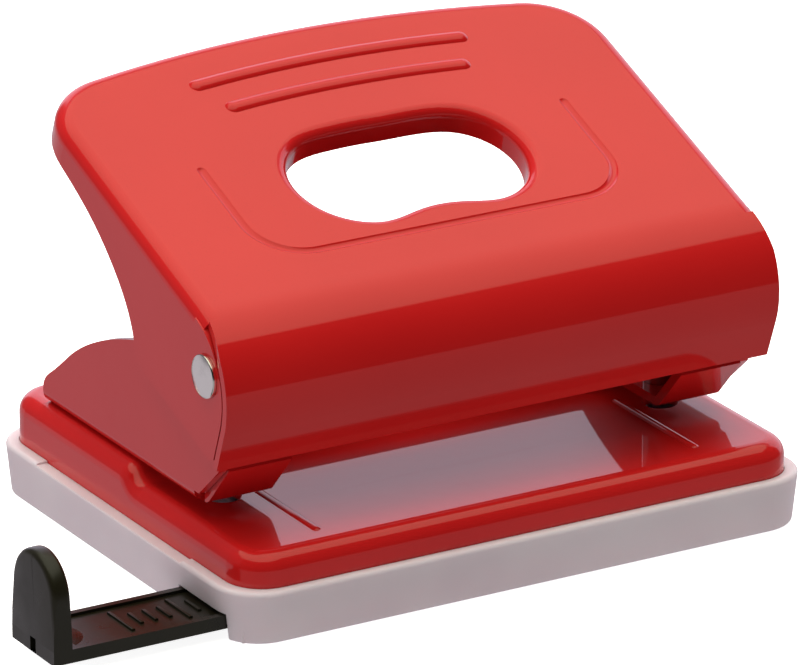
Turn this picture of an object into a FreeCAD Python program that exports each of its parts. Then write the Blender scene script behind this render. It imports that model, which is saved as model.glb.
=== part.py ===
import FreeCAD, Part
import math
import os

Vector = FreeCAD.Vector
X_AXIS = Vector(1, 0, 0)
Y_AXIS = Vector(0, 1, 0)
Z_AXIS = Vector(0, 0, 1)

# Frame: X along the row of holes, -Y the paper side, Z up, origin on the table under the tray's middle.

# Chip tray
TRAY_WIDTH = 105.0
TRAY_DEPTH = 82.4
TRAY_HEIGHT = 8.8
TRAY_TAPER = 0.9
TRAY_CORNER = 8.0
TRAY_FLOOR = 1.4
TRAY_WALL = 3.4
SHELF_Z = 6.0
RIM_STEP = 0.35
RIM_STEP_FRONT = -22.5
RIM_STEP_BACK = 25.0

# Guide channel in the tray
CHANNEL_FRONT = -35.65
CHANNEL_BACK = -21.35
CHANNEL_TOP = 4.5
CHANNEL_ROOF = 1.2
CHANNEL_END = 49.0
KEEPER_LOW = 0.6
KEEPER_HIGH = 1.7
KEEPER_REACH = 1.3

# Base plate
BASE_WIDTH = 100.4
BASE_DEPTH = 79.0
BASE_CORNER = 6.5
BASE_EDGE = 3.0
BASE_LOW = 6.0
TABLE_Z = 14.2
DECK_Z = 16.6
STEP_FRONT = -4.3
STEP_BACK = 1.2
BASE_SHEET = 1.2
RIB_X = 34.3
RIB_FRONT = -33.0
RIB_BACK = -10.0
RIB_WIDTH = 1.6
RIB_RISE = 0.35

# Bracket
FLOOR_SHEET = 1.5
FLOOR_TOP = DECK_Z + FLOOR_SHEET
EAR_OUTER = 48.1
EAR_INNER = EAR_OUTER - FLOOR_SHEET
EAR_BEND = 2.0
EAR_FRONT = -20.9
EAR_BACK = 30.2
EAR_BOSS = 4.2
EAR_RELIEF = 1.5
FLOOR_BACK = 30.0
FLOOR_NOTCH_BACK = -2.0
FLOOR_NOTCH_HALF = 35.3
FLOOR_NOTCH_CORNER = 4.0
FOOT_BEND_Y = -19.9
FOOT_BEND = 2.0
FOOT_OUTER = 46.5
FOOT_LEAN = 42.0
FOOT_LENGTH = 9.2
RIVET_PLACES = [(-30.0, 8.0), (30.0, 8.0), (-30.0, 25.0), (30.0, 25.0)]
RIVET_RADIUS = 1.6
RIVET_TOP_RADIUS = 3.0
RIVET_TOP = 1.2
RIVET_FOOT_RADIUS = 2.6
RIVET_FOOT = 0.8

# Pivot
PIVOT_Y = -26.7
PIVOT_Z = 40.2
PIVOT_RADIUS = 2.0
PIVOT_GAP = 0.06
PIVOT_HEAD_RADIUS = 3.5
PIVOT_HEAD = 1.05
PIVOT_TAIL_RADIUS = 2.9
PIVOT_TAIL = 1.0
WASHER_RADIUS = 3.9
WASHER_SHEET = 0.3

# Lever, measured square to its own top plate with the pivot at zero
LEVER_SLOPE = 20.5
LEVER_HALF = 49.9
LEVER_SHEET = 1.2
LEVER_TOP = 8.3
LEVER_LOW = -12.5
LEVER_BACK = 67.0
LEVER_BACK_ARC = 217.0
LEVER_CORNER = 13.0
LEVER_BEND = 2.5
NOSE_FRONT = -8.1
NOSE_RADIUS = 14.0
NOSE_GAP = 0.3
COLLAR_DEPTH = 4.6
COLLAR_ROLL = 1.8
HOLE_SHIFT = 0.5
HOLE_HALF = [(0.0, 40.6), (8.0, 40.5), (14.9, 39.0), (19.3, 34.2), (20.2, 27.6), (17.2, 21.5), (10.6, 18.3),
             (4.0, 19.4), (0.0, 19.8)]
SEAM_Y = 3.3
SEAM_TAPER = 6.3
SEAM_CUT = 0.9
RIDGES = [(57.7, 24.0), (50.9, 20.9)]
RIDGE_SHIFT = 0.6
RIDGE_WIDTH = 2.8
RIDGE_RISE = 0.65
RIDGE_ROOT = 0.5
PANEL_HALF = 33.0
PANEL_FRONT = 13.9
PANEL_BACK = 36.6
PANEL_CORNER = 8.8
PANEL_WIDTH = 1.5
PANEL_DEPTH = 0.3

# Punch pins and what drives them
PIN_X = 40.0
PIN_Y = -14.0
PIN_RADIUS = 2.75
PIN_LOW = 17.2
PIN_GAP = 0.06
PRESS_ANGLE = 12.0
PIN_REACH = PIN_Y - PIVOT_Y
PIN_DOME = 6.0
PIN_SLACK = 0.04
PRESS_Z = PIVOT_Z + PIN_REACH * math.tan(math.radians(PRESS_ANGLE))
PIN_TOP = PRESS_Z + PIN_DOME - (PIN_DOME + PIN_SLACK) / math.cos(math.radians(PRESS_ANGLE))
PIN_GROOVE_RADIUS = 2.1
CLIP_SHEET = 0.6
CLIP_Z = 40.2
CLIP_RADIUS = 4.3
SEAT_SHEET = 0.6
SEAT_RADIUS = 4.9
SPRING_WIRE = 0.8
SPRING_RADIUS = 3.85
SPRING_TURNS = 4.5
DIE_RADIUS = 2.9

# Guide bridge and pressure bar
BRIDGE_Z = 28.0
BRIDGE_SHEET = 1.5
BRIDGE_FRONT = -20.5
BRIDGE_BACK = -7.5
BRIDGE_TAB = 5.0
BRIDGE_LIP = 3.0
BRIDGE_LIP_HALF = 30.0
BAR_FRONT = 6.4
BAR_BACK = 19.0
BAR_HALF = 44.6
BAR_SHEET = 1.5

# Paper guide
GUIDE_LOW = 2.0
GUIDE_SHEET = 2.2
GUIDE_FRONT = -35.3
GUIDE_BACK = -21.7
GUIDE_INNER = 23.0
STOP_OUTER = -81.2
STOP_SHEET = 3.2
STOP_TOP = 18.6
GUIDE_RECESS = 0.5
GUIDE_BORDER = 1.6
TICK_FIRST = -66.0
TICK_SPACING = 2.5
TICK_COUNT = 9
TICK_WIDTH = 0.6
TICK_LONG = 4.0
TICK_SHORT = 2.2
TICK_RISE = 0.35
PAD_RADIUS = 3.6
PAD_SHIFT = 1.0
MARK_HALF = 0.9
MARK_TOP = 4.4
MARK_DEPTH = 0.8


def box(x0, x1, y0, y1, z0, z1):
    return Part.makeBox(x1 - x0, y1 - y0, z1 - z0, Vector(x0, y0, z0))


def cylinder(radius, height, x, y, z, axis=Z_AXIS):
    return Part.makeCylinder(radius, height, Vector(x, y, z), axis)


def rounded_wire(width, depth, radius, z):
    a = width / 2
    b = depth / 2
    k = radius * (1 - math.sqrt(0.5))
    edges = []
    corners = [(a, b, 1, 1), (-a, b, -1, 1), (-a, -b, -1, -1), (a, -b, 1, -1)]
    points = []
    for x, y, sx, sy in corners:
        near_side = Vector(x, y - sy * radius, z)
        middle = Vector(x - sx * k, y - sy * k, z)
        near_end = Vector(x - sx * radius, y, z)
        order = (near_side, middle, near_end) if sx * sy > 0 else (near_end, middle, near_side)
        points.append(order)
    for i, (start, middle, end) in enumerate(points):
        edges.append(Part.Arc(start, middle, end).toShape())
        edges.append(Part.makeLine(end, points[(i + 1) % 4][0]))
    return Part.Wire(edges)


def rounded_block(width, depth, radius, z0, z1):
    face = Part.Face(rounded_wire(width, depth, radius, z0))
    return face.extrude(Vector(0, 0, z1 - z0))


def polygon(points):
    return Part.Face(Part.makePolygon(points + [points[0]]))


def mirrored(shape):
    return shape.mirror(Vector(0, 0, 0), X_AXIS)


def fused(shapes):
    result = shapes[0]
    for shape in shapes[1:]:
        result = result.fuse(shape)
    return result.removeSplitter()


def segment_radius(width, height):
    """Radius of the circle whose cap has this width and height."""
    return (width * width / 4 + height * height) / (2 * height)


def edges_at(shape, test):
    return [edge for edge in shape.Edges if test(edge.BoundBox, edge)]


# ---- chip tray ----

def chip_tray():
    low = rounded_wire(TRAY_WIDTH - 2 * TRAY_TAPER, TRAY_DEPTH - 2 * TRAY_TAPER, TRAY_CORNER - TRAY_TAPER, 0)
    high = rounded_wire(TRAY_WIDTH, TRAY_DEPTH, TRAY_CORNER, TRAY_HEIGHT)
    body = Part.makeLoft([low, high], True, True)
    body = body.makeFillet(0.7, edges_at(body, lambda b, e: b.ZMax < 0.01 or b.ZMin > TRAY_HEIGHT - 0.01))
    seat = rounded_block(BASE_WIDTH + 0.2, BASE_DEPTH + 0.2, BASE_CORNER + 0.1, SHELF_Z, TRAY_HEIGHT + 5)
    pit = rounded_block(TRAY_WIDTH - 2 * TRAY_WALL, TRAY_DEPTH - 2 * TRAY_WALL, 4.5, TRAY_FLOOR, SHELF_Z + 1)
    body = body.cut(seat).cut(pit)
    tunnel = box(-TRAY_WIDTH / 2 + TRAY_WALL - 1, TRAY_WIDTH / 2 - TRAY_WALL + 0.5, CHANNEL_FRONT - 2.4,
                 CHANNEL_BACK + 1.4, 0.2, CHANNEL_TOP + CHANNEL_ROOF)
    body = body.fuse(tunnel)
    half = TRAY_WIDTH / 2
    channel = box(-half - 2, CHANNEL_END, CHANNEL_FRONT, CHANNEL_BACK, -1, CHANNEL_TOP)
    body = body.cut(channel)
    for y0, y1 in ((CHANNEL_FRONT - 0.5, CHANNEL_FRONT + KEEPER_REACH),
                   (CHANNEL_BACK - KEEPER_REACH, CHANNEL_BACK + 0.5)):
        body = body.fuse(box(-half + 6, CHANNEL_END + 0.5, y0, y1, KEEPER_LOW, KEEPER_HIGH))
    for sign in (-1, 1):
        x = sign * half
        step = box(x - 6, x + 6, RIM_STEP_FRONT, RIM_STEP_BACK, TRAY_HEIGHT - RIM_STEP, TRAY_HEIGHT + 1)
        body = body.cut(step)
    for x in (-24.0, 0.0, 24.0):
        body = body.fuse(box(x - 0.6, x + 0.6, CHANNEL_BACK + 1, TRAY_DEPTH / 2 - TRAY_WALL + 0.5,
                             TRAY_FLOOR - 0.2, TRAY_FLOOR + 0.8))
    return body.removeSplitter()


# ---- base plate ----

def base_outline(inset):
    """Side view of the stepped plate, lowered and drawn in by the inset."""
    rise = DECK_Z - TABLE_Z
    run = STEP_BACK - STEP_FRONT
    angle = 2 * math.atan(rise / run)
    radius = run / 2 / math.sin(angle)
    half = BASE_DEPTH / 2 - inset
    table = TABLE_Z - inset
    deck = DECK_Z - inset
    low = BASE_LOW - (1 if inset else 0)
    outer = radius - inset
    inner = radius + inset
    back_join = Vector(0, STEP_BACK - outer * math.sin(angle), deck - outer * (1 - math.cos(angle)))
    back_mid = Vector(0, STEP_BACK - outer * math.sin(angle / 2), deck - outer * (1 - math.cos(angle / 2)))
    front_mid = Vector(0, STEP_FRONT + inner * math.sin(angle / 2),
                       table + inner * (1 - math.cos(angle / 2)))
    corner = [Vector(0, half, low), Vector(0, half, deck), Vector(0, STEP_BACK, deck),
              Vector(0, STEP_FRONT, table), Vector(0, -half, table), Vector(0, -half, low)]
    edges = [Part.makeLine(corner[0], corner[1]), Part.makeLine(corner[1], corner[2]),
             Part.Arc(corner[2], back_mid, back_join).toShape(),
             Part.Arc(back_join, front_mid, corner[3]).toShape(),
             Part.makeLine(corner[3], corner[4]), Part.makeLine(corner[4], corner[5]),
             Part.makeLine(corner[5], corner[0])]
    return Part.Face(Part.Wire(edges))


def base_body(inset):
    width = BASE_WIDTH - 2 * inset
    profile = base_outline(inset).extrude(Vector(width, 0, 0))
    profile.translate(Vector(-width / 2, 0, 0))
    plan = rounded_block(width, BASE_DEPTH - 2 * inset, BASE_CORNER - inset, 0, 30)
    body = profile.common(plan)
    top = edges_at(body, lambda b, e: b.ZMin > TABLE_Z - inset - 0.01 and not (
        b.XLength > width * 0.9 and abs(b.YMin) < 10))
    return body.makeFillet(BASE_EDGE - inset, top)


def rib(x):
    """Low round ridge with rounded ends, standing out of the paper table."""
    radius = segment_radius(RIB_WIDTH, RIB_RISE)
    z = TABLE_Z + RIB_RISE - radius
    bar = cylinder(radius, RIB_BACK - RIB_FRONT, x, RIB_FRONT, z, Y_AXIS)
    for y in (RIB_FRONT, RIB_BACK):
        bar = bar.fuse(Part.makeSphere(radius, Vector(x, y, z)))
    return bar.common(box(x - 2, x + 2, RIB_FRONT - 2, RIB_BACK + 2, TABLE_Z - BASE_SHEET / 2, DECK_Z))


def base_plate():
    plate = base_body(0).cut(base_body(BASE_SHEET))
    for x in (-PIN_X, PIN_X):
        plate = plate.cut(cylinder(DIE_RADIUS, 20, x, PIN_Y, 5))
    for x in (-RIB_X, RIB_X):
        plate = plate.fuse(rib(x))
    for x, y in RIVET_PLACES:
        plate = plate.cut(cylinder(RIVET_RADIUS, 20, x, y, 5))
    return plate.removeSplitter()


# ---- bracket ----

def ear_face(x):
    """Outline of one ear in the side view, from the floor up to the pivot boss."""
    start = Vector(x, EAR_FRONT, DECK_Z + EAR_BEND)
    knee = Vector(x, -27.2, 24.2)
    front = Vector(x, PIVOT_Y - EAR_BOSS, 34.0)
    side = Vector(x, PIVOT_Y - EAR_BOSS, PIVOT_Z)
    back_low = Vector(x, EAR_BACK, DECK_Z + EAR_BEND)

    def on_boss(angle):
        turn = math.radians(angle)
        return Vector(x, PIVOT_Y + EAR_BOSS * math.sin(turn), PIVOT_Z + EAR_BOSS * math.cos(turn))

    crown = on_boss(10)
    slope = [(-16.0, 42.3), (-6.0, 38.8), (3.0, 36.2), (12.0, 32.8), (20.0, 28.3), (27.0, 23.0),
             (30.0, 20.2)]
    sweep = [crown] + [Vector(x, y, z) for y, z in slope] + [back_low]
    curve = Part.BSplineCurve()
    curve.interpolate(sweep)
    edges = [Part.makeLine(start, knee), Part.makeLine(knee, front), Part.makeLine(front, side),
             Part.Arc(side, on_boss(-40), crown).toShape(), curve.toShape(), Part.makeLine(back_low, start)]
    return Part.Face(Part.Wire(edges))


def ear():
    """Upright side of the bracket with the bend at its foot."""
    blank = ear_face(EAR_INNER).extrude(Vector(FLOOR_SHEET, 0, 0))
    y0 = EAR_FRONT + EAR_RELIEF
    length = EAR_BACK - y0
    bend_x = EAR_OUTER - EAR_BEND
    bend_z = DECK_Z + EAR_BEND
    ring = cylinder(EAR_BEND, length, bend_x, y0, bend_z, Y_AXIS)
    ring = ring.cut(cylinder(EAR_BEND - FLOOR_SHEET, length + 2, bend_x, y0 - 1, bend_z, Y_AXIS))
    ring = ring.common(box(bend_x, EAR_OUTER, y0, EAR_BACK, DECK_Z, bend_z))
    return fused([blank, ring])


def floor():
    """Right half of the bracket's floor, with the notch that leaves the paper table open."""
    side = EAR_OUTER - EAR_BEND
    plate = box(0, side, FOOT_BEND_Y, FLOOR_BACK, DECK_Z, FLOOR_TOP)
    notch = rounded_block(2 * FLOOR_NOTCH_HALF, 60, FLOOR_NOTCH_CORNER, DECK_Z - 1, FLOOR_TOP + 1)
    notch.translate(Vector(0, FLOOR_NOTCH_BACK - 30, 0))
    return plate.cut(notch)


def foot():
    """One front foot: bent up from the floor's front edge and leaning forward."""
    bend_z = DECK_Z + FOOT_BEND
    inner = FOOT_BEND - FLOOR_SHEET
    full = math.radians(90 - FOOT_LEAN)
    half = full / 2

    def at(radius, angle, along=0.0):
        y = FOOT_BEND_Y - radius * math.sin(angle) - along * math.cos(angle)
        z = bend_z - radius * math.cos(angle) + along * math.sin(angle)
        return Vector(FLOOR_NOTCH_HALF, y, z)

    edges = [Part.Arc(at(FOOT_BEND, 0), at(FOOT_BEND, half), at(FOOT_BEND, full)).toShape(),
             Part.makeLine(at(FOOT_BEND, full), at(FOOT_BEND, full, FOOT_LENGTH)),
             Part.makeLine(at(FOOT_BEND, full, FOOT_LENGTH), at(inner, full, FOOT_LENGTH)),
             Part.makeLine(at(inner, full, FOOT_LENGTH), at(inner, full)),
             Part.Arc(at(inner, full), at(inner, half), at(inner, 0)).toShape(),
             Part.makeLine(at(inner, 0), at(FOOT_BEND, 0))]
    return Part.Face(Part.Wire(edges)).extrude(Vector(FOOT_OUTER - FLOOR_NOTCH_HALF, 0, 0))


def bracket():
    half = fused([ear(), floor(), foot()])
    body = fused([half, mirrored(half)])
    body = body.cut(cylinder(PIVOT_RADIUS, 120, -60, PIVOT_Y, PIVOT_Z, X_AXIS))
    for x in (-PIN_X, PIN_X):
        body = body.cut(cylinder(PIN_RADIUS + PIN_GAP, 10, x, PIN_Y, DECK_Z - 4))
    for x, y in RIVET_PLACES:
        body = body.cut(cylinder(RIVET_RADIUS, 10, x, y, DECK_Z - 4))
    return body.removeSplitter()


def bracket_rivets():
    rivets = []
    under = DECK_Z - BASE_SHEET
    for x, y in RIVET_PLACES:
        head = cylinder(RIVET_TOP_RADIUS, RIVET_TOP, x, y, FLOOR_TOP)
        crown = edges_at(head, lambda b, e: b.ZMin > FLOOR_TOP + RIVET_TOP - 0.1)
        head = head.makeFillet(0.7, crown)
        shank = cylinder(RIVET_RADIUS, FLOOR_TOP - under, x, y, under)
        tail = cylinder(RIVET_FOOT_RADIUS, RIVET_FOOT, x, y, under - RIVET_FOOT)
        rivets.append(fused([head, shank, tail]))
    return Part.makeCompound(rivets)


def guide_bridge():
    half = EAR_INNER
    plate = box(-half, half, BRIDGE_FRONT, BRIDGE_BACK, BRIDGE_Z, BRIDGE_Z + BRIDGE_SHEET)
    parts = [plate]
    for sign in (-1, 1):
        x0, x1 = sorted((sign * half, sign * (half - BRIDGE_SHEET)))
        parts.append(box(x0, x1, BRIDGE_FRONT, BRIDGE_BACK, BRIDGE_Z - BRIDGE_TAB, BRIDGE_Z))
    top = BRIDGE_Z + BRIDGE_SHEET
    lip = box(-BRIDGE_LIP_HALF, BRIDGE_LIP_HALF, BRIDGE_BACK - BRIDGE_SHEET, BRIDGE_BACK,
              top, top + BRIDGE_LIP)
    parts.append(lip)
    body = fused(parts)
    for x in (-PIN_X, PIN_X):
        body = body.cut(cylinder(PIN_RADIUS + PIN_GAP, 10, x, PIN_Y, BRIDGE_Z - 4))
    return body.removeSplitter()


# ---- lever, built square and then tilted about the pivot ----

def tilted(shape):
    shape.rotate(Vector(0, 0, 0), X_AXIS, LEVER_SLOPE)
    shape.translate(Vector(0, PIVOT_Y, PIVOT_Z))
    return shape


def lever_plan(inset, z):
    """Plan outline: straight sides, large back corners and an arched back edge."""
    half = LEVER_HALF - inset
    front = NOSE_FRONT + inset
    arc = LEVER_BACK_ARC - inset
    centre = LEVER_BACK - LEVER_BACK_ARC
    radius = LEVER_CORNER - inset
    cx = half - radius
    cy = centre + math.sqrt((arc - radius) ** 2 - cx ** 2)
    aim = math.atan2(cy - centre, cx)
    join = Vector(cx + radius * math.cos(aim), cy + radius * math.sin(aim), z)
    middle = Vector(cx + radius * math.cos(aim / 2), cy + radius * math.sin(aim / 2), z)
    side = Vector(half, cy, z)

    def other(point):
        return Vector(-point.x, point.y, point.z)

    edges = [Part.makeLine(Vector(-half, front, z), Vector(half, front, z)),
             Part.makeLine(Vector(half, front, z), side),
             Part.Arc(side, middle, join).toShape(),
             Part.Arc(join, Vector(0, LEVER_BACK - inset, z), other(join)).toShape(),
             Part.Arc(other(join), other(middle), other(side)).toShape(),
             Part.makeLine(other(side), Vector(-half, front, z))]
    return Part.Face(Part.Wire(edges))


def nose_edges(inset, x):
    """Arc and straight front line of the nose, moved inwards by the inset."""
    cy = NOSE_FRONT + NOSE_RADIUS
    cz = LEVER_TOP - NOSE_RADIUS
    radius = NOSE_RADIUS - inset
    s = radius * math.sqrt(0.5)
    top = Vector(x, cy, cz + radius)
    front = Vector(x, cy - radius, cz)
    low = Vector(x, cy - radius, LEVER_LOW)
    return top, front, low, Part.Arc(top, Vector(x, cy - s, cz + s), front).toShape()


def lever_block(inset):
    """Filled lever with the bend rounded along its sides and back."""
    top, front, low, arc = nose_edges(inset, -LEVER_HALF)
    sink = Vector(0, 0, -1 if inset else 0)
    back_top = Vector(top.x, LEVER_BACK + 1, top.z)
    back_low = Vector(top.x, LEVER_BACK + 1, LEVER_LOW) + sink
    edges = [arc, Part.makeLine(front, low + sink), Part.makeLine(low + sink, back_low),
             Part.makeLine(back_low, back_top), Part.makeLine(back_top, top)]
    side_view = Part.Face(Part.Wire(edges)).extrude(Vector(2 * LEVER_HALF, 0, 0))
    plan = lever_plan(inset, LEVER_LOW - 1).extrude(Vector(0, 0, LEVER_TOP - LEVER_LOW + 2))
    block = side_view.common(plan)
    bend = edges_at(block, lambda b, e: b.ZMin > top.z - 0.01 and b.YMax > top.y + 0.01)
    return block.makeFillet(LEVER_BEND - inset, bend)


def flange_trim():
    """Everything below the flanges' lower outline, swept across the lever."""
    curve = Part.BSplineCurve()
    sweep = [(21.0, -9.4), (23.2, -7.0), (26.4, -4.6), (30.6, -2.4), (35.7, -0.4), (40.5, 0.9), (47.0, 2.0),
             (54.0, 2.8)]
    curve.interpolate([Vector(0, y, z) for y, z in sweep])
    foot = Part.Arc(Vector(0, 17.4, LEVER_LOW), Vector(0, 19.7, -11.6), Vector(0, 21.0, -9.4)).toShape()
    points = [Vector(0, 54.0, 2.8), Vector(0, LEVER_BACK + 5, 3.3), Vector(0, LEVER_BACK + 5, -20),
              Vector(0, 17.4, -20), Vector(0, 17.4, LEVER_LOW)]
    edges = [foot, curve.toShape()]
    for start, end in zip(points, points[1:]):
        edges.append(Part.makeLine(start, end))
    face = Part.Face(Part.Wire(edges))
    trim = face.extrude(Vector(2 * LEVER_HALF + 4, 0, 0))
    trim.translate(Vector(-LEVER_HALF - 2, 0, 0))
    return trim


def nose():
    """Front sheet: an arc down from the top plate and a straight lip, with sheared side edges."""
    top, front, low, arc = nose_edges(0, -LEVER_HALF)
    inner_top, inner_front, inner_low, inner_arc = nose_edges(LEVER_SHEET, -LEVER_HALF)
    edges = [arc, Part.makeLine(front, low), Part.makeLine(low, inner_low),
             Part.makeLine(inner_low, inner_front), inner_arc, Part.makeLine(inner_top, top)]
    sheet = Part.Face(Part.Wire(edges)).extrude(Vector(2 * LEVER_HALF, 0, 0))
    sheet = sheet.cut(box(-60, 60, SEAM_Y, 20, -20, 20))
    for sign in (-1, 1):
        edge = sign * LEVER_HALF
        corner = polygon([Vector(edge, SEAM_Y - SEAM_TAPER, 0), Vector(edge - sign * SEAM_CUT, SEAM_Y, 0),
                          Vector(edge, SEAM_Y, 0)])
        sheet = sheet.cut(corner.extrude(Vector(0, 0, 20)))
    return sheet


def front_flange():
    """Flat part of the right flange in front of the plate, stopping short of the nose sheet."""
    cy = NOSE_FRONT + NOSE_RADIUS
    cz = LEVER_TOP - NOSE_RADIUS
    reach = NOSE_RADIUS - LEVER_SHEET - NOSE_GAP
    s = math.sqrt(0.5)
    x0 = LEVER_HALF - LEVER_SHEET
    edges = [Part.Arc(Vector(x0, cy, cz + reach), Vector(x0, cy - reach * s, cz + reach * s),
                      Vector(x0, cy - reach, cz)).toShape(),
             Part.makeLine(Vector(x0, cy - reach, cz), Vector(x0, cy - reach, LEVER_LOW + 1)),
             Part.makeLine(Vector(x0, cy - reach, LEVER_LOW + 1), Vector(x0, cy - reach + 1, LEVER_LOW)),
             Part.makeLine(Vector(x0, cy - reach + 1, LEVER_LOW), Vector(x0, cy, LEVER_LOW)),
             Part.makeLine(Vector(x0, cy, LEVER_LOW), Vector(x0, cy, cz + reach))]
    return Part.Face(Part.Wire(edges)).extrude(Vector(LEVER_SHEET, 0, 0))


def hole_outline(grow, z):
    """Closed finger-hole outline, moved outwards by grow."""
    right = HOLE_HALF
    left = [(-x, y) for x, y in reversed(HOLE_HALF[1:-1])]
    ring = right + left
    points = []
    count = len(ring)
    for i, (x, y) in enumerate(ring):
        ax, ay = ring[i - 1]
        bx, by = ring[(i + 1) % count]
        length = math.hypot(bx - ax, by - ay)
        points.append(Vector(x + HOLE_SHIFT - grow * (by - ay) / length, y + grow * (bx - ax) / length, z))
    curve = Part.BSplineCurve()
    curve.interpolate(points, PeriodicFlag=True)
    return Part.Face(Part.Wire([curve.toShape()]))


def finger_collar():
    low = LEVER_TOP - COLLAR_DEPTH
    return hole_outline(LEVER_SHEET, low).extrude(Vector(0, 0, COLLAR_DEPTH - 0.2))


def ridge_section(place, half):
    """Section of a grip ridge: a round crown on a root that sinks into the sheet."""
    radius = segment_radius(RIDGE_WIDTH, RIDGE_RISE)
    side = RIDGE_WIDTH / 2
    drop = radius - math.sqrt(radius ** 2 - side ** 2 / 4)
    root = LEVER_TOP - RIDGE_ROOT
    top = LEVER_TOP + RIDGE_RISE
    near = 0 if half else -side
    start = Vector(0, place + near, top if half else LEVER_TOP)
    middle = Vector(0, place + (side / 2 if half else 0), top - (drop if half else 0))
    end = Vector(0, place + side, LEVER_TOP)
    low_end = Vector(0, place + side, root)
    low_start = Vector(0, place + near, root)
    edges = [Part.Arc(start, middle, end).toShape(), Part.makeLine(end, low_end),
             Part.makeLine(low_end, low_start), Part.makeLine(low_start, start)]
    return Part.Face(Part.Wire(edges))


def grip_ridge(place, half_length):
    """Raised ridge with round ends that follows the arched back edge."""
    middle = Vector(0, LEVER_BACK - LEVER_BACK_ARC, 0)
    reach = math.degrees(math.asin(half_length / (place - middle.y)))
    bar = ridge_section(place, False)
    bar.rotate(middle, Z_AXIS, -reach)
    parts = [bar.revolve(middle, Z_AXIS, 2 * reach)]
    button = ridge_section(place, True).revolve(Vector(0, place, 0), Z_AXIS, 360)
    for turn in (-reach, reach):
        end = button.copy()
        end.rotate(middle, Z_AXIS, turn)
        parts.append(end)
    ridge = fused(parts)
    ridge.translate(Vector(RIDGE_SHIFT, 0, 0))
    return ridge


def panel_groove():
    """Fine round-bottomed groove in a U round the front and sides of the finger hole."""
    section = segment_radius(PANEL_WIDTH, PANEL_DEPTH)
    z = LEVER_TOP - PANEL_DEPTH + section
    bend_x = PANEL_HALF - PANEL_CORNER
    bend_y = PANEL_FRONT + PANEL_CORNER
    front = cylinder(section, 2 * bend_x, -bend_x, PANEL_FRONT, z, X_AXIS)
    side = cylinder(section, PANEL_BACK - bend_y, PANEL_HALF, bend_y, z, Y_AXIS)
    end = Part.makeSphere(section, Vector(PANEL_HALF, PANEL_BACK, z))
    corner = Part.makeTorus(PANEL_CORNER, section, Vector(bend_x, bend_y, z), Z_AXIS)
    corner = corner.common(box(bend_x, PANEL_HALF + 3, PANEL_FRONT - 3, bend_y, z - 3, z + 3))
    arm = fused([side, end, corner])
    return fused([front, arm, mirrored(arm)])


def lever():
    shell = lever_block(0).cut(lever_block(LEVER_SHEET)).cut(flange_trim())
    shell = shell.common(box(-60, 60, SEAM_Y, 100, -40, 20))
    flange = front_flange()
    body = fused([shell, nose(), flange, mirrored(flange), finger_collar()])
    body = body.cut(hole_outline(0, -20).extrude(Vector(0, 0, 60)))
    rim = edges_at(body, lambda b, e: b.ZMin > LEVER_TOP - 0.01 and b.XLength > 35 and b.XLength < 45
                   and b.YMin > 10 and b.YMax < 45)
    body = body.makeFillet(COLLAR_ROLL, rim)
    for place, half_length in RIDGES:
        body = body.fuse(grip_ridge(place, half_length))
    body = body.cut(panel_groove())
    body = body.cut(cylinder(PIVOT_RADIUS + PIVOT_GAP, 120, -60, 0, 0, X_AXIS))
    return tilted(body.removeSplitter())


def pressure_bar():
    """Channel welded under the top plate; its lower web pushes the two pins."""
    drop = math.radians(LEVER_SLOPE - PRESS_ANGLE)
    top = LEVER_TOP - LEVER_SHEET

    def outline(grow):
        y0 = BAR_FRONT + grow
        y1 = BAR_BACK - grow
        rise = grow / math.cos(drop)
        upper = top + (2 if grow else 0)
        return polygon([Vector(-BAR_HALF, y0, -y0 * math.tan(drop) + rise),
                        Vector(-BAR_HALF, y1, -y1 * math.tan(drop) + rise),
                        Vector(-BAR_HALF, y1, upper), Vector(-BAR_HALF, y0, upper)])

    length = Vector(2 * BAR_HALF, 0, 0)
    shell = outline(0).extrude(length).cut(outline(BAR_SHEET).extrude(length))
    shell = shell.cut(hole_outline(LEVER_SHEET + 0.8, 0).extrude(Vector(0, 0, 30)))
    return tilted(shell)


# ---- pivot hardware ----

def pivot_rivet():
    outer = LEVER_HALF + 0.05
    head = cylinder(PIVOT_HEAD_RADIUS, PIVOT_HEAD, outer, PIVOT_Y, PIVOT_Z, X_AXIS)
    head = head.makeFillet(0.4, edges_at(head, lambda b, e: b.XMin > outer + PIVOT_HEAD - 0.01))
    shank = cylinder(PIVOT_RADIUS, outer - EAR_INNER, EAR_INNER, PIVOT_Y, PIVOT_Z, X_AXIS)
    tail = cylinder(PIVOT_TAIL_RADIUS, PIVOT_TAIL, EAR_INNER - PIVOT_TAIL, PIVOT_Y, PIVOT_Z, X_AXIS)
    tail = tail.makeFillet(0.4, edges_at(tail, lambda b, e: b.XMax < EAR_INNER - PIVOT_TAIL + 0.01))
    return fused([head, shank, tail])


def pivot_washer():
    disc = cylinder(WASHER_RADIUS, WASHER_SHEET, EAR_OUTER, PIVOT_Y, PIVOT_Z, X_AXIS)
    return disc.cut(cylinder(PIVOT_RADIUS, 4, EAR_OUTER - 1, PIVOT_Y, PIVOT_Z, X_AXIS))


# ---- punch pins ----

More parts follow.
